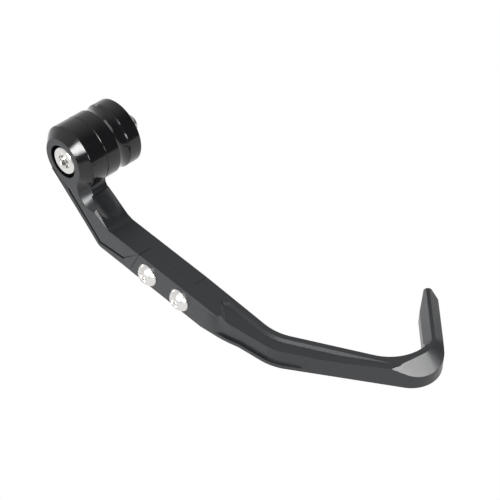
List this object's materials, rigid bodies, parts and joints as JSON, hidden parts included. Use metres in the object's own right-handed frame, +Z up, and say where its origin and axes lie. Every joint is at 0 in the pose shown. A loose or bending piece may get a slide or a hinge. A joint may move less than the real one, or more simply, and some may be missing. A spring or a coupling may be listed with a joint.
{
  "type": "brake lever guard",
  "caption": "Machined brake lever guard for a handlebar end: round clamp head on a turned spacer, bent arm and hooked guard bar that shields the lever.",
  "frame": {"origin": "centre of the spacer's far face, where it meets the end of the handlebar", "axes": "+Y along the handlebar from its end towards the grip, +X forward, +Z up"},
  "size_m": [0.1907, 0.0814, 0.0479],
  "materials": {
    "black_anodised_arm": "black anodised, satin",
    "black_anodised_hook": "black anodised, satin",
    "black_anodised_spacer": "black anodised, turned, glossier than the arm",
    "bright_screw": "bright zinc",
    "bright_small_screws": "bright zinc"
  },
  "bodies": {
    "root": {"mount_arm": "black_anodised_arm", "guard_hook": "black_anodised_hook", "bar_end_spacer": "black_anodised_spacer", "main_bolt": "bright_screw", "guard_screws": "bright_small_screws"}
  },
  "joints": []
}
